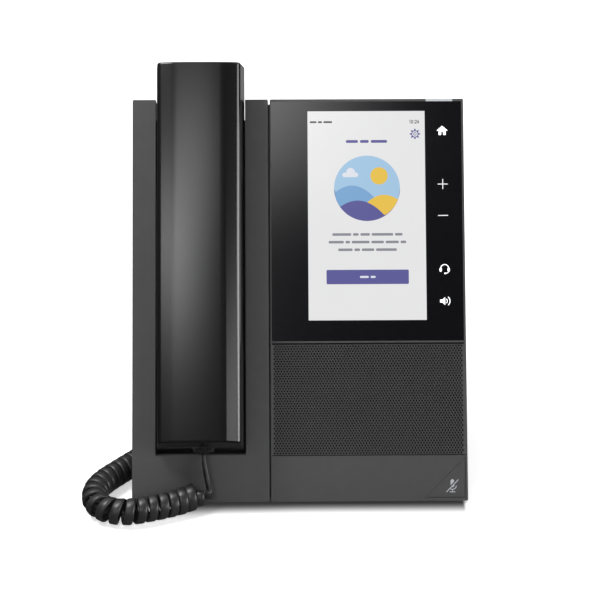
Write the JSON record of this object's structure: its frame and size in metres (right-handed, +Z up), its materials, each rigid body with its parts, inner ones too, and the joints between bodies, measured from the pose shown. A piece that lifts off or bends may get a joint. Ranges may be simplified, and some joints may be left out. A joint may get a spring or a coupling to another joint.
{
  "type": "desk ip phone",
  "caption": "Desk network telephone on a leaning stand: handset in a cradle on the left, upright touch screen, perforated speaker, corner mute key and curly cord.",
  "frame": {"origin": "on the desk, under the middle of the telephone without its cord", "axes": "+Z up; the face looks to -Y and leans back 30 degrees; +X is the telephone's right as its user sees it"},
  "size_m": [0.2008, 0.1514, 0.2099],
  "materials": {
    "housing": "fine-grained charcoal moulded plastic",
    "cover": "dark moulded plastic of the back and the stand",
    "handset": "satin black moulded plastic",
    "glass": "black printed cover glass",
    "screen": "lit screen panel",
    "tin": "pressed steel and tinned cans",
    "screw": "zinc plated screw steel",
    "grille": "perforated dark plastic",
    "cloth": "black acoustic cloth",
    "rubber": "black rubber",
    "magnet": "ferrite and plated steel",
    "cone": "black polymer cone",
    "board": "green printed circuit board",
    "chip": "black epoxy packages",
    "socket": "dark socket plastic",
    "light": "milky light guide",
    "plug": "clear moulded plug",
    "cord": "black flexible cord jacket",
    "label": "blank silver-grey plate",
    "weight": "plated steel weight"
  },
  "bodies": {
    "base": {"cradle_housing": "housing", "display_housing": "housing", "rear_cover": "cover", "cover_glass": "glass", "lcd_panel": "screen", "lcd_backlight": "tin", "speaker_grille": "grille", "grille_cloth": "cloth", "speaker_gasket": "rubber", "speaker_basket": "cone", "speaker_cone": "cone", "speaker_magnet": "magnet", "speaker_screws": "screw", "bottom_bar": "housing", "mute_switch": "chip", "mute_board": "board", "message_light": "light", "light_board": "board", "key_light_board": "board", "main_board": "board", "board_chips": "chip", "shield_cans": "tin", "port_panel": "cover", "network_jack": "socket", "pc_jack": "socket", "handset_jack": "socket", "headset_jack": "socket", "power_jack": "socket", "usb_port": "tin", "hook_switch": "chip", "hook_spring": "tin", "hanger_tab": "housing", "cradle_pads": "rubber", "desk_microphone": "tin", "security_insert": "tin", "rating_plate": "label", "front_feet": "rubber", "cover_screws": "screw", "board_screws": "screw", "cord_lead": "cord", "cord_coil": "cord", "cord_tail": "cord", "base_plug": "plug"},
    "mute_button": {"mute_key": "housing"},
    "hook": {"hook_button": "cover"},
    "stand": {"stand": "cover", "stand_feet": "rubber"},
    "handset": {"handset_outer_shell": "handset", "handset_inner_shell": "handset", "ear_receiver": "magnet", "ear_gasket": "rubber", "mouth_microphone": "tin", "mic_boot": "rubber", "handset_weight": "weight", "handset_socket": "socket", "handset_screws": "screw", "handset_plug": "plug"}
  },
  "joints": [
    {"name": "handset_lift", "type": "slide", "parent": "base", "child": "handset", "axis": [0, -0.866, 0.5], "range_m": [0, 0.09]},
    {"name": "hook_rise", "type": "slide", "parent": "base", "child": "hook", "axis": [0, -0.866, 0.5], "range_m": [0, 0.003]},
    {"name": "mute_press", "type": "slide", "parent": "base", "child": "mute_button", "axis": [0, 0.866, -0.5], "range_m": [0, 0.0005], "stiffness_N_per_m": 600, "springref_m": -0.0006},
    {"name": "stand_slide", "type": "slide", "parent": "base", "child": "stand", "axis": [0, -0.5, -0.866], "range_m": [0, 0.012]}
  ],
  "couplings": [
    {"joint": "hook_rise", "follows": "handset_lift", "ratio": 0.03333}
  ]
}
